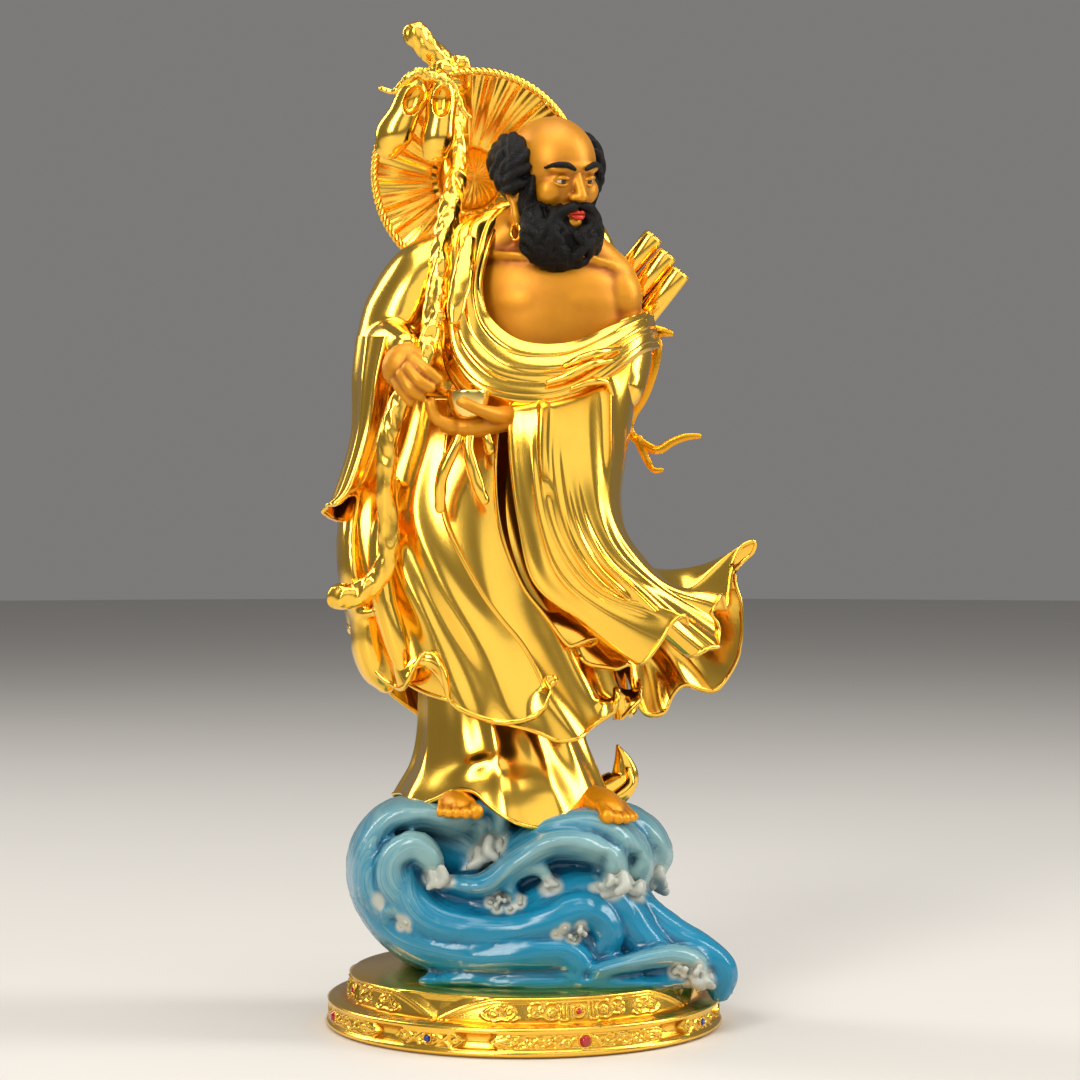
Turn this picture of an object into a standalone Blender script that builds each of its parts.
"""A gilt statue of a bearded wandering monk who stands on a breaking wave, on a round jewelled plinth.

Metres, +Z up, origin at the middle of the plinth's underside. The figure's pose is drawn in millimetres on
the upright plane through the plinth's middle, as it shows from an eye in front of it, and drawn() sets each
point at its own depth. All cloth is thin sheet with folds that follow formulas.
"""

import math

import bmesh
import bpy
import numpy as np
from mathutils import Matrix, Vector

MM = 0.001

# The eye that the pose is drawn from, in millimetres.
EYE_SIDE = 8.0
EYE_HEIGHT = 260.0
EYE_DISTANCE = 1400.0

# The figure group stands turned on its plinth, in degrees.
GROUP_TURN = -17.5

# The room between two pieces that touch, and between two rough castings, in millimetres.
FIT_GAP = 0.3
CAST_GAP = 1.4

# The two tiers of the plinth, in millimetres.
PLINTH_RADIUS = 99.0
STEP_HEIGHT = 14.3
TIER_RADIUS = 88.8
PLINTH_HEIGHT = 26.5

COLOURS = {
    "gilt": ((0.83, 0.53, 0.12), 0.12, 1.0),
    "pale_gilt": ((0.86, 0.68, 0.32), 0.18, 1.0),
    "antique_gilt": ((0.72, 0.36, 0.05), 0.3, 1.0),
    "enamel": ((0.06, 0.38, 0.52), 0.25, 0.0),
    "ruby": ((0.55, 0.01, 0.02), 0.08, 0.0),
    "sapphire": ((0.01, 0.06, 0.4), 0.08, 0.0),
}


def drawn(points):
    """Points drawn as x, depth, height in millimetres, set at their depth, in metres."""
    points = np.asarray(points, float)
    nearness = 1 + points[..., 1:2] / EYE_DISTANCE
    eye = np.array([EYE_SIDE, 0.0, EYE_HEIGHT])
    placed = eye + (points - eye) * nearness
    placed[..., 1] = points[..., 1]
    return placed * MM


def along(stations, t):
    """Rows of numbers read from evenly spaced stations by a smooth curve, with t from 0 to 1."""
    rows = np.asarray(stations, float)
    rows = np.vstack([2 * rows[0] - rows[1], rows, 2 * rows[-1] - rows[-2]])
    last = len(rows) - 3
    place = np.asarray(t, float) * last
    i = np.clip(np.floor(place).astype(int), 0, last - 1)
    f = (place - i)[..., None]
    a, b, c, d = (rows[i + k] for k in range(4))
    return b + 0.5 * f * (c - a + f * (2 * a - 5 * b + 4 * c - d + f * (3 * (b - c) + d - a)))


def by_height(stations, z):
    """As along, for stations whose first number is a height, read at heights z."""
    rows = np.asarray(stations, float)
    order = np.argsort(rows[:, 0])
    rows = rows[order]
    t = np.interp(z, rows[:, 0], np.linspace(0, 1, len(rows)))
    return along(rows[:, 1:], t)


def grid(across, down):
    """Two arrays, u across and v down, each from 0 to 1."""
    return np.meshgrid(np.linspace(0, 1, across), np.linspace(0, 1, down))


def eased(t):
    """0 to 1 with a level start and end."""
    t = np.clip(t, 0, 1)
    return t * t * (3 - 2 * t)


def ridges(u, v, lines):
    """Height of folds at u, v. A line is u, width and height, each at the top and hem, and its start."""
    total = np.zeros(np.broadcast(u, v).shape)
    for u0, u1, w0, w1, h0, h1, start in lines:
        away = (u - (u0 + (u1 - u0) * v)) / (w0 + (w1 - w0) * v)
        rise = eased((v - start) / 0.25) if start > 0 else 1.0
        total += (h0 + (h1 - h0) * v) * np.exp(-away * away) * rise
    return total


# Each shape is a bmesh of its own. Pieces are joined from lists of them.


def laid(points, wrap=False, thickness=0.0):
    """A grid of faces over rows of points in metres. wrap makes a tube of it, thickness a shell."""
    rows, across = points.shape[:2]
    bm = bmesh.new()
    made = bmesh.ops.create_grid(bm, x_segments=across - 1, y_segments=rows - 1, size=1.0)
    for vert, place in zip(made["verts"], points.reshape(-1, 3)):
        vert.co = place
    if wrap:
        bmesh.ops.remove_doubles(bm, verts=bm.verts[:], dist=1e-6)
        bmesh.ops.recalc_face_normals(bm, faces=bm.faces[:])
    if thickness:
        bmesh.ops.solidify(bm, geom=bm.faces[:], thickness=thickness * MM)
    return bm


def blob(centre, radii, turn=(0, 0, 0), around=20):
    """An ellipsoid: drawn centre and radii in millimetres, turned by degrees about X, Y and Z."""
    bm = bmesh.new()
    bmesh.ops.create_uvsphere(bm, u_segments=around, v_segments=around // 2, radius=1.0)
    spin = Matrix.Rotation(math.radians(turn[2]), 4, "Z") @ Matrix.Rotation(math.radians(turn[1]), 4, "Y")
    spin = spin @ Matrix.Rotation(math.radians(turn[0]), 4, "X")
    size = Matrix.Diagonal(Vector(radii)).to_4x4()
    bmesh.ops.transform(bm, matrix=spin @ size, verts=bm.verts[:])
    for vert in bm.verts:
        vert.co = drawn(np.array(vert.co) + centre)
    return bm


def rings(path, radii, around=12, flat=(0, 1, 0), rounded=True):
    """Rings of drawn points round a path. radii is one or two numbers a point, the first along flat."""
    path = np.asarray(path, float)
    radii = np.asarray(radii, float)
    radii = np.broadcast_to(radii.reshape(len(path), -1), (len(path), 2))
    tangent = np.gradient(path, axis=0)
    tangent /= np.linalg.norm(tangent, axis=1, keepdims=True)
    if rounded:
        turns = np.radians([0.5, 30, 60])[:, None]
        reach = radii.min(axis=1)
        start = path[0] - tangent[0] * np.cos(turns) * reach[0]
        end = path[-1] + tangent[-1] * np.cos(turns[::-1]) * reach[-1]
        path = np.vstack([start, path, end])
        radii = np.vstack([radii[0] * np.sin(turns), radii, radii[-1] * np.sin(turns[::-1])])
        tangent = np.vstack([[tangent[0]] * 3, tangent, [tangent[-1]] * 3])
    side = np.asarray(flat, float) - tangent * (tangent @ np.asarray(flat, float))[:, None]
    side /= np.linalg.norm(side, axis=1, keepdims=True)
    other = np.cross(tangent, side)
    angle = np.linspace(0, 2 * math.pi, around + 1)
    return (
        path[:, None]
        + side[:, None] * (np.cos(angle)[:, None] * radii[:, None, :1])
        + other[:, None] * (np.sin(angle)[:, None] * radii[:, None, 1:])
    )


def closed_tube(points):
    """A tube over rings of drawn points, its ends filled."""
    bm = laid(drawn(points), wrap=True)
    bmesh.ops.holes_fill(bm, edges=bm.edges[:], sides=0)
    bmesh.ops.recalc_face_normals(bm, faces=bm.faces[:])
    return bm


def limb(stations, count=14, around=14, flat=(0, 1, 0)):
    """A closed tube along stations of x, depth, height and one or two radii."""
    rows = along(stations, np.linspace(0, 1, count))
    return closed_tube(rings(rows[:, :3], rows[:, 3:], around, flat))


def joined(name, shapes, collection):
    """One mesh object of several shapes."""
    whole = bmesh.new()
    for shape in shapes:
        mesh = bpy.data.meshes.new("shape")
        shape.to_mesh(mesh)
        shape.free()
        whole.from_mesh(mesh)
        bpy.data.meshes.remove(mesh)
    mesh = bpy.data.meshes.new(name)
    whole.to_mesh(mesh)
    whole.free()
    obj = bpy.data.objects.new(name, mesh)
    collection.objects.link(obj)
    return obj


# The robes, as distances in millimetres on the drawing and angles in degrees. 0 degrees faces the eye.

UNDER_ROBE = [  # height, middle, half width, depth of the middle, half depth
    (240, -10, 34, 2, 26),
    (200, -11, 37, 2, 28),
    (165, -11, 38, 2, 30),
    (145, -11, 38, 1, 31),
    (128, -10, 40, 0, 33),
    (114, -11, 44, -2, 37),
    (98, -11, 47, -4, 41),
]
OUTER_ROBE = [
    (330, -10, 48, 4, 26),
    (290, -16, 58, 3, 34),
    (255, -24, 66, 2, 40),
    (220, -22, 66, 2, 44),
    (190, -17, 61, 2, 46),
    (165, -12, 56, 2, 47),
    (138, -6, 52, 2, 47),
]


def round_body(stations, theta, z, out=0.0):
    """Drawn points at angle theta in degrees and height z on a robe's body, out millimetres beyond it."""
    row = by_height(stations, z)
    angle = np.radians(theta)
    half_width = row[..., 1] + out
    half_depth = row[..., 3] + out
    x = row[..., 0] + half_width * np.sin(angle)
    y = row[..., 2] - half_depth * np.cos(angle)
    return np.stack([x, y, z + 0 * x], axis=-1)


def hem_height(theta, base, lobes):
    """Height of a hem: lobes are the angle, half width and drop of each swag."""
    height = np.full(np.shape(theta), float(base))
    for middle, width, drop in lobes:
        away = (theta - middle + 180) % 360 - 180
        height -= drop * np.exp(-((away / width) ** 2))
    return height


def under_robe(across=120, down=28):
    """The skirt that shows below the long robe, with swags at its hem."""
    u, v = grid(across, down)
    theta = -180 + 360 * u
    lobes = [(12, 24, 21), (-70, 16, 4), (-38, 14, -3), (48, 14, -1), (110, 30, 2), (180, 40, 8),
             (-120, 30, 3)]
    hem = hem_height(theta, 115, lobes)
    z = 230 + (hem - 230) * v
    low = eased((165 - z) / 60)
    folds = ridges(
        theta,
        v,
        [
            (-66, -72, 6, 9, 2, 6, 0.0),
            (-48, -44, 7, 8, 1, 2, 0.3),
            (-20, -6, 8, 10, 2, 5, 0.0),
            (2, 22, 7, 9, 1, 5, 0.2),
            (20, 44, 6, 8, 2, 6, 0.1),
            (38, 66, 6, 8, 1, 5, 0.0),
            (100, 112, 8, 10, 2, 6, 0.0),
            (130, 140, 8, 10, 1, 4, 0.0),
            (165, 160, 9, 11, 2, 6, 0.0),
            (-150, -160, 9, 11, 2, 6, 0.0),
            (-125, -128, 8, 10, 2, 5, 0.0),
            (-95, -98, 7, 9, 1, 5, 0.0),
        ],
    )
    flare = 7 * low * low
    points = round_body(UNDER_ROBE, theta + 6 * low, z, folds + flare)
    return laid(drawn(points), wrap=True, thickness=2.2)


def outer_robe(across=150, down=50):
    """The long robe, with folds that fan out to its hem."""
    u, v = grid(across, down)
    theta = -180 + 360 * u
    lobes = [(22, 20, 18), (-8, 14, 4), (-50, 20, -6), (52, 12, -2), (90, 30, 2), (180, 60, 2),
             (-110, 30, -10)]
    hem = hem_height(theta, 157, lobes)
    z = 330 + (hem - 330) * v
    folds = ridges(
        theta,
        v,
        [
            (-5, 38, 5, 7, 0, 3, 0.45),
            (10, 58, 5, 8, 0, 5, 0.4),
            (30, 80, 6, 9, 0, 6, 0.3),
            (60, 100, 6, 9, 2, 6, 0.0),
            (85, 125, 8, 9, 2, 6, 0.0),
            (115, 145, 9, 9, 3, 6, 0.0),
            (140, 165, 8, 9, 2, 5, 0.0),
            (170, 185, 9, 10, 3, 6, 0.0),
            (-165, -168, 8, 10, 2, 5, 0.0),
            (-140, -145, 8, 9, 3, 6, 0.0),
            (-118, -122, 7, 9, 2, 5, 0.0),
            (-98, -100, 6, 8, 2, 5, 0.0),
            (-78, -76, 6, 8, 1, 4, 0.0),
        ],
    )
    flare = 5 * eased((v - 0.6) / 0.4) ** 2
    points = round_body(OUTER_ROBE, theta, z, folds + flare)
    return laid(drawn(points), wrap=True, thickness=2.2)


def left_panel(across=90, down=60):
    """The overlapping front panel on the right hip, whose edge runs down and across to a curled corner."""
    u, v = grid(across, down)
    edge = along([(-26,), (-20,), (-12,), (0,), (16,), (24,)], v[:, 0])[:, 0][:, None]
    start = -128 + 6 * v
    theta = start + (edge - start) * u
    hem = 158 - 9 * np.exp(-((theta - 2) / 14) ** 2) + 6 * np.exp(-((theta + 48) / 12) ** 2)
    hem += 4 * np.exp(-((theta + 75) / 14) ** 2)
    z = 312 + (hem - 312) * v
    folds = ridges(
        u,
        v,
        [
            (0.97, 0.985, 0.03, 0.028, 2.0, 4.0, 0.0),
            (0.90, 0.78, 0.03, 0.05, 2.5, 4.0, 0.0),
            (0.82, 0.62, 0.03, 0.045, 3.0, 6.0, 0.0),
            (0.72, 0.50, 0.035, 0.04, 3.0, 6.0, 0.0),
            (0.60, 0.38, 0.04, 0.045, 2.5, 6.0, 0.0),
            (0.45, 0.26, 0.04, 0.04, 2.0, 5.0, 0.0),
            (0.28, 0.14, 0.04, 0.04, 2.0, 5.0, 0.0),
        ],
    )
    flare = 4 * eased((v - 0.7) / 0.3) ** 2
    points = round_body(OUTER_ROBE, theta, z, 2.5 + folds + flare)
    return laid(drawn(points), thickness=2.0)


# Rings of a sleeve, from its top to its hem: x, depth and height at the right, front, left, back and between.
LEFT_SLEEVE = [
    [(56, -8, 322), (45, -24, 320), (22, -36, 313), (2, -42, 308), (-7, -40, 303), (4, -26, 302),
     (25, -10, 310),
     (48, 0, 320)],
    [(50, -8, 284), (40, -36, 282), (20, -46, 280), (2, -45, 280), (-6, -36, 282), (0, -22, 280),
     (22, -8, 280),
     (44, 2, 282)],
    [(51, -4, 246), (44, -36, 242), (26, -48, 238), (7, -46, 238), (-1, -36, 240), (4, -20, 236),
     (28, -4, 232),
     (50, 8, 238)],
    [(78, 2, 224), (70, -28, 214), (42, -46, 206), (17, -47, 208), (7, -35, 216), (16, -14, 196),
     (44, 2, 188),
     (78, 14, 204)],
    [(115, 8, 239), (98, -16, 205), (60, -40, 189), (24, -46, 187), (12, -35, 206), (34, -8, 150),
     (68, 8, 154),
     (103, 18, 177)],
]
RIGHT_SLEEVE = [
    [(-57, -14, 345), (-60, -30, 343), (-70, -36, 342), (-80, -28, 342), (-84, -14, 342), (-78, 0, 344),
     (-68, 4, 346), (-60, -2, 346)],
    [(-62, -12, 322), (-66, -32, 322), (-74, -40, 322), (-82, -32, 322), (-86, -14, 322), (-80, 2, 322),
     (-70, 6, 322), (-62, 0, 322)],
    [(-68, -12, 292), (-72, -32, 294), (-78, -40, 294), (-84, -32, 293), (-86, -14, 292), (-82, 4, 290),
     (-74, 8, 288), (-68, 0, 290)],
    [(-76, -14, 268), (-80, -34, 270), (-86, -40, 268), (-92, -32, 265), (-94, -14, 262), (-88, 4, 262),
     (-78, 10, 258), (-70, 0, 262)],
    [(-82, -16, 262), (-88, -36, 262), (-93, -40, 258), (-98, -30, 257), (-98, -14, 252), (-92, 6, 250),
     (-80, 12, 246), (-72, 0, 254)],
]


def on_rings(rings, u, v):
    """Drawn points on a tube through rings of points, u round it and v along it."""
    rings = np.asarray(rings, float)
    count = rings.shape[1]
    closed = np.concatenate([rings[:, -1:], rings, rings[:, :2]], axis=1)
    place = (u[0] % 1.0) * count
    i = np.floor(place).astype(int)
    f = (place - i)[None, :, None]
    a, b, c, d = (closed[:, i + k] for k in range(4))
    rows = b + 0.5 * f * (c - a + f * (2 * a - 5 * b + 4 * c - d + f * (3 * (b - c) + d - a)))
    flat = along(rows.reshape(len(rings), -1), v[:, 0])
    return flat.reshape(len(v), len(place), 3)


def outward(points):
    """The direction away from the middle of each ring, in the level plane."""
    away = points - points.mean(axis=1, keepdims=True)
    away[..., 2] *= 0.3
    return away / np.maximum(np.linalg.norm(away, axis=-1, keepdims=True), 1e-6)


LEFT_SLEEVE_FOLDS = [
    (0.49, 0.49, 0.018, 0.02, 1.0, 4, 0.0),
    (0.42, 0.43, 0.02, 0.022, 1.5, 5, 0.0),
    (0.36, 0.355, 0.015, 0.02, 2.5, 5, 0.0),
    (0.30, 0.28, 0.014, 0.02, 2.5, 6, 0.0),
    (0.24, 0.21, 0.014, 0.018, 2.5, 6, 0.0),
    (0.18, 0.15, 0.014, 0.016, 2.5, 6, 0.0),
    (0.12, 0.09, 0.016, 0.018, 2.0, 6, 0.0),
    (0.04, 0.03, 0.02, 0.022, 1.0, 5, 0.0),
    (0.95, 0.95, 0.025, 0.025, 1.5, 6, 0.0),
    (0.86, 0.88, 0.025, 0.025, 1.5, 6, 0.0),
    (0.77, 0.79, 0.03, 0.03, 1.5, 6, 0.0),
    (0.66, 0.68, 0.03, 0.03, 1.5, 6, 0.0),
]
RIGHT_SLEEVE_FOLDS = [
    (0.44, 0.44, 0.025, 0.03, 1, 3, 0.0),
    (0.36, 0.36, 0.022, 0.025, 2, 4, 0.0),
    (0.28, 0.28, 0.022, 0.025, 2, 4, 0.0),
    (0.20, 0.20, 0.022, 0.025, 2, 4, 0.0),
    (0.11, 0.11, 0.025, 0.03, 2, 4, 0.0),
    (0.62, 0.62, 0.04, 0.05, 1, 4, 0.0),
    (0.78, 0.78, 0.04, 0.05, 1, 4, 0.0),
]


def sleeve(rings, folds, across, down, wave=0.0):
    """A wide sleeve through rings of points, with folds and a rippled hem."""
    u, v = grid(across, down)
    points = on_rings(rings, u, v * (1 + wave * np.sin(12 * math.pi * u)))
    points += outward(points) * ridges(u, v, folds)[..., None]
    return laid(drawn(points), wrap=True, thickness=2.0)


def left_sleeve(across=150, down=60):
    """The wide sleeve that hangs from the left forearm and blows out to one side."""
    return sleeve(LEFT_SLEEVE, LEFT_SLEEVE_FOLDS, across, down, 0.012)


def right_sleeve(across=90, down=40):
    """The sleeve that hangs from the right wrist."""
    return sleeve(RIGHT_SLEEVE, RIGHT_SLEEVE_FOLDS, across, down)


COLLAR_INNER = [
    (-8, 8, 404),
    (-14, -4, 396),
    (-19, -16, 383),
    (-22, -24, 366),
    (-17, -30, 349),
    (-1, -35, 337),
    (22, -34, 336),
    (43, -26, 344),
    (60, -8, 351),
    (64, 8, 352),
]
COLLAR_OUTER = [
    (-34, 10, 398),
    (-42, 0, 390),
    (-42, -14, 370),
    (-42, -26, 346),
    (-38, -34, 322),
    (-22, -40, 306),
    (8, -42, 303),
    (34, -38, 314),
    (58, -20, 332),
    (68, 4, 336),
]


def collar(across=40, down=80):
    """The shawl of nested folds that crosses the chest and runs under the bare shoulder."""
    u, v = grid(across, down)
    inner = along(COLLAR_INNER, v[:, 0])[:, None]
    outer = along(COLLAR_OUTER, v[:, 0])[:, None]
    points = inner + (outer - inner) * u[..., None]
    roll = 2.6 * np.abs(np.sin(math.pi * (4.5 * u + 0.15 + 0.3 * v))) ** 0.8
    points[..., 1] -= roll + 4 * np.sin(math.pi * u)
    return laid(drawn(points), thickness=-3.0)


def torso_cloth():
    """The robe over the back, the right shoulder and both upper arms."""
    return [
        limb(
            [(-14, 6, 392, 14, 18), (-12, 6, 378, 20, 36), (-10, 6, 355, 24, 46), (-12, 4, 325, 26, 48),
             (-14, 3, 290, 28, 50), (-16, 2, 250, 34, 56), (-12, 2, 200, 34, 52), (-10, 2, 150, 28, 40)],
            around=28,
        ),
        limb([(-34, 6, 386, 12), (-50, 2, 372, 18), (-62, -4, 352, 19), (-70, -10, 338, 15)], around=20),
        limb([(-70, -8, 336, 14), (-66, -22, 338, 12), (-60, -36, 336, 9)], around=18),
        limb([(48, 4, 346, 15), (49, -4, 332, 15), (47, -14, 318, 14)], around=18),
        limb([(46, -16, 316, 13), (22, -30, 313, 11), (-4, -42, 309, 9)], around=18),
        limb([(-12, 12, 398, 9, 12), (4, 16, 392, 9, 30), (10, 16, 372, 14, 40),
            (6, 14, 345, 18, 46)], around=24),
    ]


def bare_body():
    """Chest, neck, left shoulder and the hands and feet."""
    return [
        blob((16, -2, 356), (33, 24, 36)),
        blob((-2, -16, 362), (17, 11, 14), (0, 0, 10)),
        blob((32, -15, 362), (18, 11, 14), (0, 0, -15)),
        blob((44.5, 2, 366), (13.5, 14, 15)),
        blob((45.5, 2, 352), (12.5, 13, 16)),
        limb([(14, 2, 378, 17), (14, -2, 392, 13), (14, -5, 408, 12)], around=18),
        blob((-10, 4, 386), (16, 12, 9), (0, 25, 0)),
        blob((31, 6, 380), (14, 10, 8), (0, 22, 0)),
    ]


def head():
    """The bald head with side hair and a full beard, turned to the statue's left."""
    return [
        blob((15, -8, 429), (21.5, 24, 21.5)),
        blob((17, -15, 416), (18, 18, 20)),
        blob((-4, 2, 420), (13, 14, 19)),
        blob((32, 4, 421), (9, 12, 14)),
        blob((24, -23, 393), (18, 15, 20)),
        blob((12, -16, 398), (17, 16, 18)),
    ]


def hands():
    """The right hand round the staff and the left hand under the bowl."""
    return [
        blob((-60, -46, 327), (11, 8, 12), (0, 30, 0)),
        limb([(-56, -52, 330, 3.6), (-49, -56, 325, 3.2), (-43, -55, 320, 2.8)], count=8, around=10),
        limb([(-58, -54, 326, 3.4), (-53, -58, 320, 3.2), (-47, -57, 316, 3.0)], count=8, around=10),
        limb([(-61, -53, 323, 3.4), (-57, -57, 316, 3.2), (-52, -56, 312, 3.0)], count=8, around=10),
        limb([(-64, -50, 320, 3.2), (-61, -54, 314, 3.0), (-57, -54, 309, 2.8)], count=8, around=10),
        limb([(-4, -40, 302, 7, 6.5), (-14, -45, 299.5, 8, 6.5), (-26, -50, 296.5, 9, 5.5),
            (-38, -50, 297, 8, 4.5)]),
        limb([(-10, -50, 305, 4.2), (-20, -61, 309, 3.4), (-33, -65, 309.5, 3.0)], count=8, around=10),
        limb([(-36, -56, 297, 3.6), (-44, -56, 301, 3.2), (-47, -56, 308, 2.8)], count=8, around=10),
        limb([(-36, -48, 297, 3.6), (-44, -48, 301, 3.2), (-46.5, -48, 309, 2.8)], count=8, around=10),
    ]


def feet():
    """The fronts of both bare feet."""
    return [
        blob((-33, -34, 109), (11.5, 22, 7.5), (12, 0, 0)),
        blob((39, -30, 108), (9, 24, 7.5), (18, 0, 25)),
    ]


RIBBONS = [
    [(-30, -50, 300, 2.6), (-34, -54, 288, 3.0), (-41, -54, 272, 3.2), (-42, -52, 256, 2.6)],
    [(-25, -50, 300, 2.4), (-28, -54, 287, 3.0), (-23, -55, 268, 3.0), (-20, -54, 260, 2.6)],
    [(-20, -48, 300, 2.4), (-18, -50, 290, 2.6), (-17, -50, 285, 2.4)],
]


HEM_TIP = [(38, 14, 110, 8, 9), (47, 14, 119, 8, 8), (48, 13, 129, 4, 4.5), (46.5, 12, 137, 1.4, 1.4)]


def belt_ribbons():
    """The tails of the belt that hang below the left hand."""
    return [limb(stations, count=14, around=10) for stations in RIBBONS]


# The wave. Crests are flat tubes that curl over in the plane of the drawing, wide in depth.

CRESTS = [  # stations of x, depth, height, half width in depth, half thickness
    [(-30, -2, 30, 40, 12), (-56, -2, 42, 40, 11), (-76, 0, 62, 40, 9), (-80, 2, 84, 38, 8),
     (-68, 2, 101, 34, 8),
     (-48, 0, 104, 30, 8), (-30, -4, 98, 26, 8), (-21, -8, 88, 18, 7), (-22, -12, 82, 12, 5)],
    [(-28, -36, 42, 14, 6), (-52, -38, 50, 14, 6), (-68, -38, 66, 13, 5.5), (-68, -38, 80, 12, 5.5),
     (-58, -40, 86, 11, 6), (-49, -42, 80, 9, 6), (-46, -42, 73, 5, 4)],
    [(-32, -4, 96, 26, 7), (-18, -6, 103, 26, 7), (-13, -8, 96, 20, 6), (-15, -12, 89, 12, 5)],
    [(-38, -30, 68, 18, 4), (-20, -34, 67, 20, 5), (-4, -34, 78, 24, 6), (14, -30, 88, 30, 8),
     (32, -28, 87, 30, 8),
     (44, -30, 78, 24, 7), (46, -34, 68, 16, 5)],
    [(-8, -20, 84, 26, 7), (12, -18, 96, 34, 8), (36, -14, 98, 36, 9), (52, -12, 88, 34, 9),
     (57, -14, 74, 26, 8),
     (54, -18, 66, 16, 5)],
    [(20, 14, 92, 26, 8), (42, 16, 102, 26, 8), (59, 14, 96, 24, 8), (66.5, 10, 84, 20, 8),
     (65, 6, 74, 12, 6)],
    [(-2, -44, 58, 7, 3), (-7, -48, 68, 8, 3.2), (0, -50, 75, 8, 3.5), (9, -50, 75, 7, 3.5),
     (13, -50, 68, 5, 3)],
    [(-76, -26, 60, 8, 3), (-77, -34, 64, 8, 3), (-72, -37, 62, 5, 3)],
    [(-68, -36, 50, 8, 3), (-66, -42, 55, 8, 3.5), (-59, -44, 52, 5, 3)],
    [(36, -58, 24, 9, 4), (56, -54, 29, 12, 5), (74, -48, 32, 13, 6), (86, -46, 29, 10, 5),
     (88, -46, 22, 6, 4)],
]
BANDS = [  # long smooth swells that run across the front and back
    [(-62, -40, 78, 10, 5), (-58, -42, 60, 12, 8), (-42, -46, 47, 12, 9), (-12, -50, 42, 12, 8),
     (12, -52, 48, 12, 8),
     (26, -50, 54, 12, 8), (38, -48, 50, 10, 7), (42, -48, 40, 8, 6), (36, -48, 32, 6, 4)],
    [(-52, -30, 72, 12, 7), (-42, -34, 60, 12, 8), (-22, -38, 53, 12, 8), (0, -42, 53, 12, 8),
     (16, -42, 61, 12, 8),
     (32, -40, 64, 12, 8), (48, -38, 55, 12, 8), (56, -38, 43, 12, 8), (66, -40, 33, 10, 7)],
    [(-76, -20, 60, 14, 7), (-64, -30, 46, 14, 8), (-46, -42, 36, 14, 8), (-22, -50, 31, 12, 7),
     (4, -54, 33, 12, 7),
     (18, -56, 36, 10, 6), (27, -57, 31, 9, 6), (22, -57, 24, 8, 5), (6, -56, 23, 8, 5),
     (-20, -52, 22, 8, 4)],
    [(-30, -26, 64, 12, 8), (-8, -30, 66, 12, 8), (14, -30, 72, 12, 8), (36, -28, 68, 12, 9),
     (55, -26, 54, 12, 9),
     (73, -28, 42, 12, 8), (88, -30, 34, 12, 7), (99, -30, 25, 10, 6), (98, -30, 15, 7, 5)],
    [(-20, -4, 66, 14, 12), (20, -2, 72, 16, 14), (45, -2, 60, 16, 12), (64, -4, 47, 14, 9),
     (84, -6, 36, 12, 7),
     (97, -8, 27, 10, 6)],
    [(10, 20, 66, 16, 16), (38, 20, 60, 16, 13), (60, 18, 46, 14, 9), (82, 12, 34, 12, 8)],
    [(-70, 10, 70, 18, 10), (-62, 20, 54, 20, 12), (-42, 30, 42, 20, 12), (-10, 36, 36, 20, 12),
     (20, 36, 38, 20, 12),
     (50, 28, 41, 18, 9), (74, 18, 36, 14, 8)],
    [(-58, 22, 88, 16, 12), (-40, 30, 78, 18, 12), (-10, 34, 72, 18, 12), (20, 32, 76, 18, 12),
     (42, 24, 84, 16, 12)],
]
WAVE_CORE = [(16, -2, 20, 48, 60), (12, -2, 34, 46, 60), (2, 0, 50, 42, 58), (-6, 2, 68, 38, 56),
             (-8, 2, 86, 38, 56)]
WAVE_TOP = [(-8, 2, 84, 40, 54), (-8, 2, 98, 38, 50), (-6, 0, 106, 30, 42)]
FOAM = [  # middle of a cluster, how far it reaches, balls, ball size
    ((-23, -20, 80), (6, 12, 5), 12, 2.6),
    ((-47, -44, 71), (4, 6, 3), 6, 2.4),
    ((-15, -16, 87), (3, 9, 4), 8, 2.4),
    ((40, -38, 67), (9, 12, 4), 14, 2.6),
    ((54, -24, 65), (4, 12, 4), 10, 2.8),
    ((64, 0, 73), (5, 12, 5), 12, 2.8),
    ((10, -52, 66), (3, 4, 3), 6, 1.8),
    ((-8, -44, 57), (9, 4, 4), 12, 1.8),
    ((22, -56, 43), (9, 4, 4), 12, 1.8),
    ((-70, -38, 58), (4, 4, 3), 6, 1.6),
    ((-58, -46, 49), (4, 4, 3), 7, 1.6),
    ((82, -52, 24), (6, 4, 3), 8, 2.2),
]


def spread(count):
    """Evenly strewn directions in a ball."""
    i = np.arange(count) + 0.5
    z = 1 - 2 * i / count
    angle = i * math.pi * (3 - math.sqrt(5))
    ring = np.sqrt(1 - z * z)
    return np.stack([ring * np.cos(angle), ring * np.sin(angle), z], axis=-1)


def foam(centre, reach, count, size, around=10):
    """A cluster of foam balls."""
    return [
        blob(np.array(centre) + way * reach, (size, size, size), around=around)
        for way in spread(count)
    ]


def wave_shapes(fine=1):
    """The core, crests, swells and foam of the wave, still apart."""
    around = 16 * fine
    shapes = [limb(WAVE_CORE, 12 * fine, 32 * fine), limb(WAVE_TOP, 8 * fine, 28 * fine)]
    shapes += [limb(stations, 22 * fine, around) for stations in CRESTS]
    shapes += [limb(stations, 26 * fine, around) for stations in BANDS]
    for cluster in FOAM:
        shapes += foam(*cluster)
    return shapes


# The staff, hat, shoes, bowl and scrolls.

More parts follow.
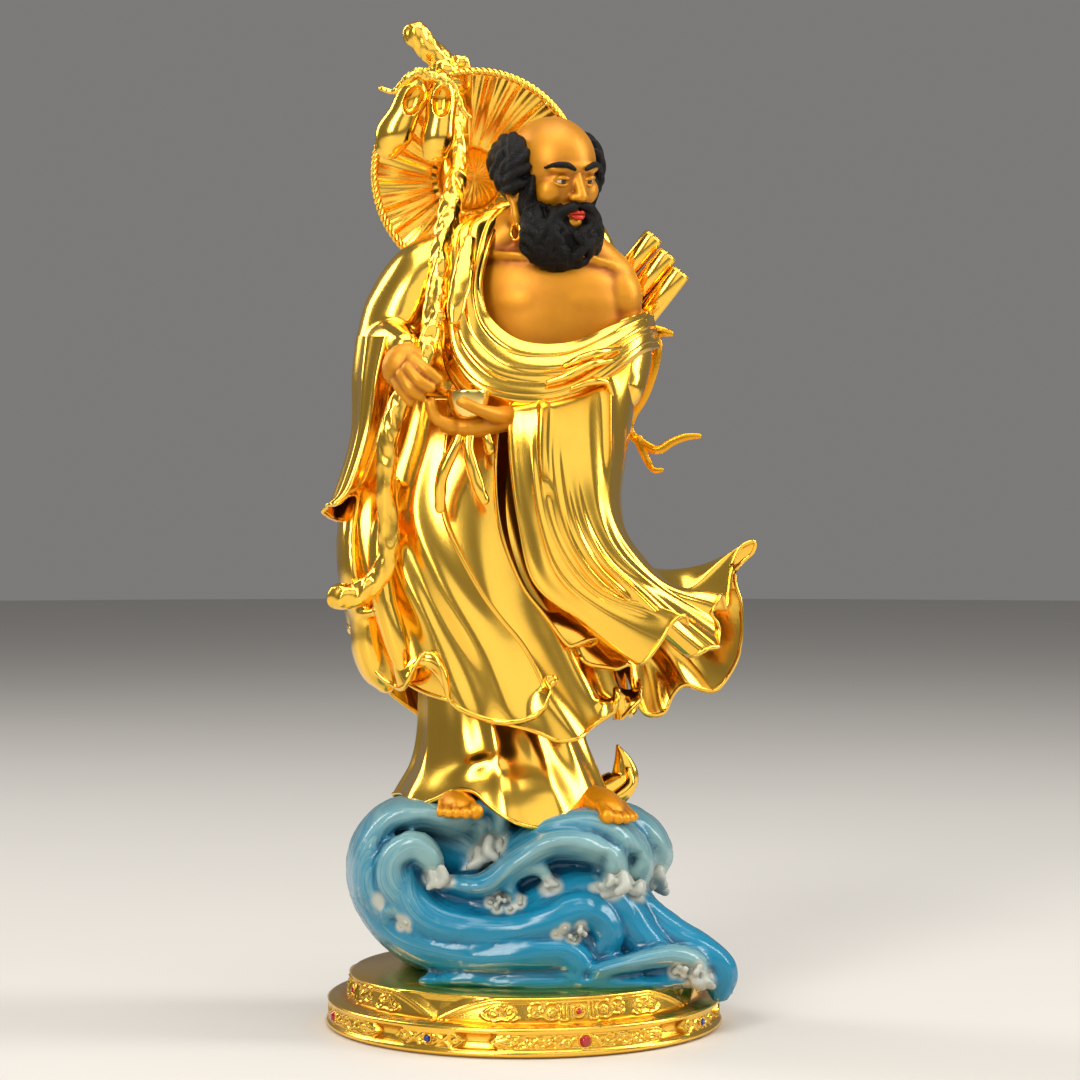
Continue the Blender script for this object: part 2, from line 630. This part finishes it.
STAFF = [
    (-92, -44, 211.5, 6.2),
    (-83, -44, 213, 5.6),
    (-73, -45, 221, 5.2),
    (-68, -46, 233, 4.8),
    (-68, -48, 252, 5.0),
    (-69, -50, 268, 5.0),
    (-67.5, -52, 292, 5.0),
    (-60, -50, 314, 4.8),
    (-50, -44, 332, 4.8),
    (-44.5, -28, 358, 5.0),
    (-41.5, -13, 384, 5.0),
    (-37.5, 2, 403, 5.4),
    (-34, 18, 424, 5.4),
    (-34, 32, 448, 5.4),
    (-36, 42, 466, 6.0),
]
STAFF_HEAD = [
    [(-35, 43, 470, 7.0), (-40, 42, 477, 6.0), (-47, 41, 485, 6.0), (-54, 40, 493, 6.2)],
    [(-36, 43, 470, 5.5), (-44, 38, 470, 4.2), (-50, 35, 472, 4.0)],
    [(-35, 43, 472, 6.0), (-32, 43, 474, 5.0), (-30, 43, 476, 4.2)],
]
STAFF_KNOTS = [(-32, 42, 479), (-28, 42, 473), (-39, 38, 476), (-72, -46, 224), (-44, -34, 352)]

HAT_MIDDLE = (-23.5, 38.0, 422.0)
HAT_RADIUS = 53.5
HAT_TILT = (6, 0, -12)
CROWN_OFF = (-7.0, -3.0)


def staff_shapes(fine=1):
    """The crooked staff, its forked head and its knots."""
    shapes = [limb(STAFF, 40 * fine, 12 * fine)]
    shapes += [limb(stations, 8 * fine, 12 * fine) for stations in STAFF_HEAD]
    shapes += [blob(place, (4.2, 4.2, 3.6), around=12) for place in STAFF_KNOTS]
    return shapes


def hat_points(across, down, inside):
    """The inner or outer skin of the pleated cone hat, which faces the statue's back with its hollow."""
    u, v = grid(across, down)
    angle = 2 * math.pi * u
    radius = along([(0.3,), (11,), (15.5,), (16.5,), (28,), (41,), (HAT_RADIUS,)], v)[..., 0]
    depth = along([(30,), (29,), (24,), (14,), (9,), (4,), (0,)], v)[..., 0]
    brim = np.clip((radius - 16.5) / (HAT_RADIUS - 16.5), 0, 1)
    pleat = 0.9 * np.sin(24 * angle) * brim * (1 - brim) ** 0.3
    off = 1 - brim
    x = radius * np.cos(angle) + CROWN_OFF[0] * off
    z = radius * np.sin(angle) + CROWN_OFF[1] * off
    y = depth + pleat + (0.0 if inside else 2.4)
    return np.stack([x, y, z], axis=-1)


def hat_shapes(across=96, down=14):
    """The pleated hat as one thin shell."""
    inner = hat_points(across, down, True)
    outer = hat_points(across, down, False)[::-1]
    skin = np.concatenate([inner, outer], axis=0)
    swing = Matrix.Rotation(math.radians(HAT_TILT[2]), 3, "Z")
    turn = swing @ Matrix.Rotation(math.radians(HAT_TILT[0]), 3, "X")
    placed = skin @ np.array(turn).T + np.array(HAT_MIDDLE)
    bm = laid(drawn(placed), wrap=True)
    bmesh.ops.remove_doubles(bm, verts=bm.verts[:], dist=1e-6)
    bmesh.ops.holes_fill(bm, edges=bm.edges[:], sides=0)
    bmesh.ops.recalc_face_normals(bm, faces=bm.faces[:])
    return [bm]


SHOES = {
    "shoe_left": ([(-53, 18, 470, 4.5, 5), (-55.5, 17, 463, 6.5, 8), (-60, 16, 453, 6.5, 8),
                   (-65, 16, 443, 7, 9.4),
                   (-68.5, 17, 435, 4.5, 6.5)], (-55, 10, 460), (5.2, 6, 8.2), (0, 24, 0)),
    "shoe_right": ([(-41, 18, 470, 4.5, 5), (-41, 17, 462, 6.5, 7.6), (-42, 16, 451, 6.5, 7.6),
                    (-43.5, 16, 441, 7, 8.6),
                    (-44.5, 17, 433, 4.5, 6.5)], (-41, 10, 459.5), (4.9, 6, 8.2), (0, 4, 0)),
}
CORD = [
    [(-62, 15, 467, 1.2, 1.6), (-58, 13, 471, 1.2, 2.2), (-53, 13, 474, 1.2, 2.4),
     (-48, 15, 472, 2.2, 3.0),
     (-43, 15, 471, 1.8, 2.4), (-36, 15, 468, 1.2, 1.6), (-33, 15, 461, 1.2, 1.6),
     (-30, 15, 454, 1.0, 1.4),
     (-27, 16, 451, 0.9, 1.2)],
    [(-62, 15, 467, 1.1, 1.6), (-65, 16, 464, 1.1, 1.5), (-69, 17, 465, 1.0, 1.2),
     (-72, 18, 466, 0.9, 1.0)],
    [(-48, 15, 472, 2.4, 3.2), (-46, 22, 475, 1.6, 2.0), (-45, 30, 478, 1.4, 1.6)],
]

BOWL_MIDDLE = (-28, -52, 300.0)
BOWL_OUTER = [(0.4, 0), (5.0, 0.3), (9.0, 5.0), (10.5, 10.5), (10.7, 15)]
BOWL_WALL = 1.2

SCROLL_ENDS = [(65, 26, 392), (72, 24, 383), (78.5, 22, 374)]
SCROLL_WAY = np.array([0.62, -0.06, 0.78])
SASH = [
    [(58, 16, 349, 2.4, 3.0), (63, 12, 346, 1.4, 2.6), (67, 10, 338, 1.2, 2.4), (65, 10, 326, 1.2, 2.6),
     (60, 12, 312, 1.2, 2.6), (54, 14, 302, 1.2, 2.6), (53, 14, 294, 1.2, 2.4), (60, 12, 288, 1.2, 2.4),
     (67, 10, 285, 1.2, 2.4), (74, 10, 289, 1.2, 2.2), (81, 10, 291.5, 1.2, 2.0),
     (88, 10, 292, 1.0, 1.4)],
    [(62, 12, 346, 1.6, 2.6), (70, 10, 344, 1.4, 2.4), (74, 10, 343, 1.0, 1.6)],
    [(60, 14, 346, 1.6, 2.4), (60, 10, 336, 1.2, 2.2), (64, 10, 330, 1.2, 2.2)],
    [(57, 13, 291, 1.6, 2.6), (59, 12, 285, 1.2, 2.2), (62, 12, 279, 1.2, 2.0), (65, 10, 275, 1.0, 1.6),
     (69, 10, 275, 1.0, 1.4)],
]


def bowl_shapes(around=24):
    """The turned alms bowl, open at the top."""
    inner = [(r - BOWL_WALL, z + (BOWL_WALL if r < 8 else 0)) for r, z in BOWL_OUTER[::-1][:-1]]
    profile = BOWL_OUTER + inner
    profile.append((0.4, BOWL_WALL))
    rows = np.array(profile)
    angle = np.linspace(0, 2 * math.pi, around + 1)
    x = rows[:, :1] * np.cos(angle)
    y = rows[:, :1] * np.sin(angle)
    z = rows[:, 1:] + 0 * angle
    points = np.stack([x, y, z], axis=-1) + np.array(BOWL_MIDDLE)
    bm = laid(drawn(points), wrap=True)
    bmesh.ops.holes_fill(bm, edges=bm.edges[:], sides=0)
    bmesh.ops.recalc_face_normals(bm, faces=bm.faces[:])
    return [bm]


def roll(end, length=46, radius=5.4, around=18):
    """One rolled scroll, with a flat end."""
    end = np.array(end, float)
    path = [end - SCROLL_WAY * length, end - SCROLL_WAY * 1.0, end]
    return closed_tube(rings(path, [radius, radius, radius - 0.8], around, rounded=False))


def scroll_shapes():
    """The three rolled scrolls of the bundle."""
    return [roll(end) for end in SCROLL_ENDS]


# The plinth, in its own true frame: its front faces -Y.

PLINTH_PROFILE = [  # height and radius of the plain turned form
    (0.0, PLINTH_RADIUS - 2.0),
    (1.6, PLINTH_RADIUS),
    (3.4, PLINTH_RADIUS - 0.8),
    (3.9, PLINTH_RADIUS - 3.4),
    (10.9, PLINTH_RADIUS - 3.4),
    (11.6, PLINTH_RADIUS - 1.2),
    (13.2, PLINTH_RADIUS - 1.0),
    (STEP_HEIGHT - 0.3, PLINTH_RADIUS - 2.4),
    (STEP_HEIGHT, TIER_RADIUS + 0.2),
    (STEP_HEIGHT + 1.1, TIER_RADIUS - 0.6),
    (STEP_HEIGHT + 4.7, TIER_RADIUS - 1.4),
    (STEP_HEIGHT + 8.7, TIER_RADIUS - 2.4),
    (PLINTH_HEIGHT - 0.9, TIER_RADIUS - 2.6),
    (PLINTH_HEIGHT, TIER_RADIUS - 3.8),
]
LOBES = 4
CARTOUCHE_HALF = 27.0
SMALL_CARTOUCHE_HALF = 11.0
CARTOUCHE_BOTTOM = 3.8
CARTOUCHE_TOP = 11.0
STONE_HEIGHT = 7.4
SMALL_STONE_HEIGHT = STEP_HEIGHT + 5.3


def from_lobe(theta):
    """Degrees from the middle of the nearest lobe, 0 to 45."""
    return np.abs((theta + 45) % 90 - 45)


def arch_height(theta):
    """Height of the arched frame of a lobe, which falls to a cusp between two lobes."""
    off = from_lobe(theta) / 45
    cusp = np.clip((off - 0.55) / 0.45, 0, 1) ** 1.6
    return STEP_HEIGHT + 0.1 + (PLINTH_HEIGHT - STEP_HEIGHT - 1.0) * (1 - cusp)


def plinth_radius(theta, z, radius):
    """The turned radius with the lobes, the spandrels between them and the two kinds of cartouche."""
    off = from_lobe(theta)
    upper = z > STEP_HEIGHT + 0.1
    spandrel = upper & (z > arch_height(theta))
    radius = radius - np.where(spandrel, 2.2 * np.clip((z - arch_height(theta)) / 4, 0, 1), 0)
    band = (z > CARTOUCHE_BOTTOM) & (z < CARTOUCHE_TOP)
    slant = 2.5 * np.abs(z - STONE_HEIGHT) / (CARTOUCHE_TOP - STONE_HEIGHT)
    large = off < CARTOUCHE_HALF - slant
    small = off > 45 - SMALL_CARTOUCHE_HALF + slant
    return radius + np.where(band & (large | small), 1.7, 0)


def plinth_shapes(around=56):
    """The plinth as one turned form with its lobes and cartouches."""
    profile = np.array(PLINTH_PROFILE)
    theta = np.linspace(0, 360, around + 1)[None]
    z = profile[:, :1] + 0 * theta
    radius = plinth_radius(theta, z, profile[:, 1:] + 0 * theta)
    angle = np.radians(theta)
    points = np.stack([radius * np.sin(angle), -radius * np.cos(angle), z], axis=-1)
    bm = laid(points * MM, wrap=True)
    bmesh.ops.holes_fill(bm, edges=bm.edges[:], sides=0)
    bmesh.ops.recalc_face_normals(bm, faces=bm.faces[:])
    return [bm]


STONES = [  # name, angle of the first, height, radius and thickness, colour
    ("stone_large", 0, STONE_HEIGHT, 3.0, 1.8, "ruby"),
    ("stone_blue", 45, STONE_HEIGHT, 2.0, 1.4, "sapphire"),
    ("stone_small", 0, SMALL_STONE_HEIGHT, 1.5, 1.1, "ruby"),
]


def seat_radius(theta, z, reach):
    """The largest radius of the plinth under a stone."""
    profile = np.array(PLINTH_PROFILE)
    under = z + reach * np.linspace(-1, 1, 9)
    plain = np.interp(under, profile[:, 0], profile[:, 1])
    return plinth_radius(np.full(9, float(theta)), under, plain).max()


def stone(theta, z, radius, thickness):
    """A round cut stone that faces outwards."""
    seat = seat_radius(theta, z, radius)
    bm = bmesh.new()
    bmesh.ops.create_cone(
        bm, cap_ends=True, segments=8, radius1=radius, radius2=radius * 0.62, depth=thickness
    )
    bmesh.ops.scale(bm, vec=(MM, MM, MM), verts=bm.verts[:])
    out = Matrix.Rotation(math.radians(90), 4, "X")
    place = Matrix.Translation((0, -(seat + FIT_GAP + thickness / 2) * MM, z * MM))
    swing = Matrix.Rotation(math.radians(theta), 4, "Z")
    bmesh.ops.transform(bm, matrix=swing @ place @ out, verts=bm.verts[:])
    return bm


# Fitting the pieces to each other.


def evaluated(obj):
    """The mesh of an object with its modifiers applied."""
    graph = bpy.context.evaluated_depsgraph_get()
    return bpy.data.meshes.new_from_object(obj.evaluated_get(graph))


def settle(obj):
    """Applies the modifiers of an object."""
    mesh = evaluated(obj)
    obj.modifiers.clear()
    old = obj.data
    obj.data = mesh
    bpy.data.meshes.remove(old)


def part_touching(bm, gap=0.02):
    """Draws the skin back a little where two corners of it meet in one point."""
    touching = [vert for vert in bm.verts if not vert.is_manifold]
    corners = []
    for vert in touching:
        corners += bmesh.utils.vert_separate(vert, [])
    bm.normal_update()
    for vert in corners:
        vert.co -= vert.normal * gap * MM


def largest_body(obj):
    """Leaves the body with the most faces."""
    bm = bmesh.new()
    bm.from_mesh(obj.data)
    left = set(bm.faces)
    bodies = []
    while left:
        body = {left.pop()}
        border = list(body)
        while border:
            face = border.pop()
            for edge in face.edges:
                for other in edge.link_faces:
                    if other not in body and len(edge.link_faces) == 2:
                        body.add(other)
                        border.append(other)
        left -= body
        bodies.append(body)
    keep = max(bodies, key=len)
    bmesh.ops.delete(bm, geom=[face for face in bm.faces if face not in keep], context="FACES")
    part_touching(bm)
    bm.to_mesh(obj.data)
    bm.free()


def melted(obj, voxel):
    """Melts the shapes of an object into one closed skin."""
    melt = obj.modifiers.new("melt", "REMESH")
    melt.mode = "VOXEL"
    melt.voxel_size = voxel * MM
    settle(obj)
    largest_body(obj)


def thinned(obj, triangles):
    """Leaves about so many triangles."""
    count = sum(len(face.vertices) - 2 for face in obj.data.polygons)
    thin = obj.modifiers.new("thin", "DECIMATE")
    thin.ratio = min(1.0, triangles / count)
    settle(obj)
    largest_body(obj)


def fused(obj, voxel, triangles, rooms=()):
    """Melts the shapes of an object into one closed skin with room for its neighbours."""
    melted(obj, voxel)
    if rooms:
        thinned(obj, 5 * triangles)
        cut(obj, rooms)
        melted(obj, voxel)
    thinned(obj, triangles)


def pushed_out(obj, distance=FIT_GAP + 0.05):
    """A copy of an object, evenly larger by distance in millimetres, to cut its room with."""
    bm = bmesh.new()
    bm.from_mesh(obj.data)
    bm.normal_update()
    moves = [vert.normal * (distance * MM * min(vert.calc_shell_factor(), 1.8)) for vert in bm.verts]
    for vert, move in zip(bm.verts, moves):
        vert.co += move
    mesh = bpy.data.meshes.new("room")
    bm.to_mesh(mesh)
    bm.free()
    cutter = bpy.data.objects.new("room", mesh)
    bpy.context.scene.collection.objects.link(cutter)
    return cutter


def cut(obj, cutters):
    """Takes the room of each cutter out of an object, and removes the cutters."""
    for cutter in cutters:
        boolean = obj.modifiers.new("room", "BOOLEAN")
        boolean.operation = "DIFFERENCE"
        boolean.solver = "EXACT"
        boolean.use_self = True
        boolean.object = cutter
        settle(obj)
        bpy.data.objects.remove(cutter)
    largest_body(obj)


def drum(radius, top):
    """A round cutter from below the plinth up to a height."""
    bm = bmesh.new()
    bmesh.ops.create_cone(bm, cap_ends=True, segments=96, radius1=radius, radius2=radius, depth=top + 60)
    bmesh.ops.translate(bm, vec=(0, 0, (top - 60) / 2), verts=bm.verts[:])
    bmesh.ops.scale(bm, vec=(MM, MM, MM), verts=bm.verts[:])
    return joined("room", [bm], bpy.context.scene.collection)


def turned(obj):
    """Turns a piece of the figure group to its place on the plinth."""
    obj.data.transform(Matrix.Rotation(math.radians(GROUP_TURN), 4, "Z"))
    obj.data.shade_smooth()


def material(name):
    """The plain finish of that name."""
    colour, roughness, metallic = COLOURS[name]
    mat = bpy.data.materials.new(name)
    mat.use_nodes = True
    shader = mat.node_tree.nodes["Principled BSDF"]
    shader.inputs["Base Color"].default_value = (*colour, 1.0)
    shader.inputs["Roughness"].default_value = roughness
    shader.inputs["Metallic"].default_value = metallic
    return mat


def figure_shapes():
    """The cloth and the bare parts of the figure, still apart."""
    cloth = [
        under_robe(60, 14),
        outer_robe(84, 24),
        left_panel(44, 26),
        left_sleeve(84, 30),
        right_sleeve(54, 18),
        collar(28, 36),
        limb(HEM_TIP),
    ]
    return cloth + torso_cloth() + bare_body() + head() + hands() + feet() + belt_ribbons()


def shoe(name, collection):
    """A soft slipper with its opening."""
    stations, middle, radii, turn = SHOES[name]
    obj = joined(name, [limb(stations, 6, 8)], collection)
    opening = joined("room", [blob(middle, radii, turn, 8)], bpy.context.scene.collection)
    cut(obj, [opening])
    return obj


def carried_pieces(parts):
    """The staff, bowl, scrolls and hat, which the figure makes room for."""
    staff = joined("staff", staff_shapes(), parts)
    fused(staff, 1.2, 460)
    bowl = joined("bowl", bowl_shapes(16), parts)
    scrolls = joined("scrolls", scroll_shapes(), parts)
    fused(scrolls, 0.9, 200)
    hat = joined("hat", hat_shapes(29, 6), parts)
    cut(hat, [pushed_out(staff), pushed_out(scrolls)])
    return staff, bowl, scrolls, hat


def hung_slippers(parts, staff, hat):
    """The two slippers and the cord that ties them to the staff."""
    shoes = [shoe(name, parts) for name in SHOES]
    cord = joined("shoe_cord", [limb(stations, 12, 6) for stations in CORD], parts)
    fused(cord, 0.7, 180)
    cut(shoes[0], [pushed_out(obj) for obj in (hat, staff)])
    cut(shoes[1], [pushed_out(obj) for obj in (shoes[0], hat, staff)])
    cut(cord, [pushed_out(obj) for obj in (staff, hat, shoes[0], shoes[1])])
    return [*shoes, cord]


def cast_wave(parts, figure):
    """The wave, cut to sit on the step and the top of the plinth."""
    wave = joined("wave", wave_shapes(), parts)
    fused(wave, 1.3, 1370, [pushed_out(figure, CAST_GAP)])
    top = drum(TIER_RADIUS + FIT_GAP, PLINTH_HEIGHT + FIT_GAP)
    step = drum(PLINTH_RADIUS + FIT_GAP, STEP_HEIGHT + FIT_GAP)
    cut(wave, [top, step])
    return wave


def set_stones(parts):
    """The stones round the plinth, in their places on each lobe."""
    for name, first, z, radius, thickness, colour in STONES:
        for i in range(LOBES):
            shape = stone(first + 360 / LOBES * i, z, radius, thickness)
            obj = joined(f"{name}_{i + 1}", [shape], parts)
            obj.data.materials.append(material(colour))


def main():
    """Makes every piece of the statue in its own collection."""
    for obj in list(bpy.data.objects):
        bpy.data.objects.remove(obj)
    parts = bpy.data.collections.new("monk_statue")
    bpy.context.scene.collection.children.link(parts)

    staff, bowl, scrolls, hat = carried_pieces(parts)
    figure = joined("figure", figure_shapes(), parts)
    fused(figure, 1.1, 3900, [pushed_out(obj, CAST_GAP) for obj in (staff, bowl, scrolls, hat)])
    wave = cast_wave(parts, figure)
    slippers = hung_slippers(parts, staff, hat)
    sash = joined("sash", [limb(stations, 20, 6) for stations in SASH], parts)
    fused(sash, 0.8, 220)
    cut(sash, [pushed_out(obj) for obj in (figure, scrolls)])
    for obj in (figure, wave, staff, hat, bowl, scrolls, sash, *slippers):
        turned(obj)

    joined("plinth", plinth_shapes(), parts)
    shades = {"wave": "enamel", "bowl": "pale_gilt", "sash": "antique_gilt"}
    for obj in parts.objects:
        obj.data.materials.append(material(shades.get(obj.name, "gilt")))
    set_stones(parts)


if __name__ == "__main__":
    main()
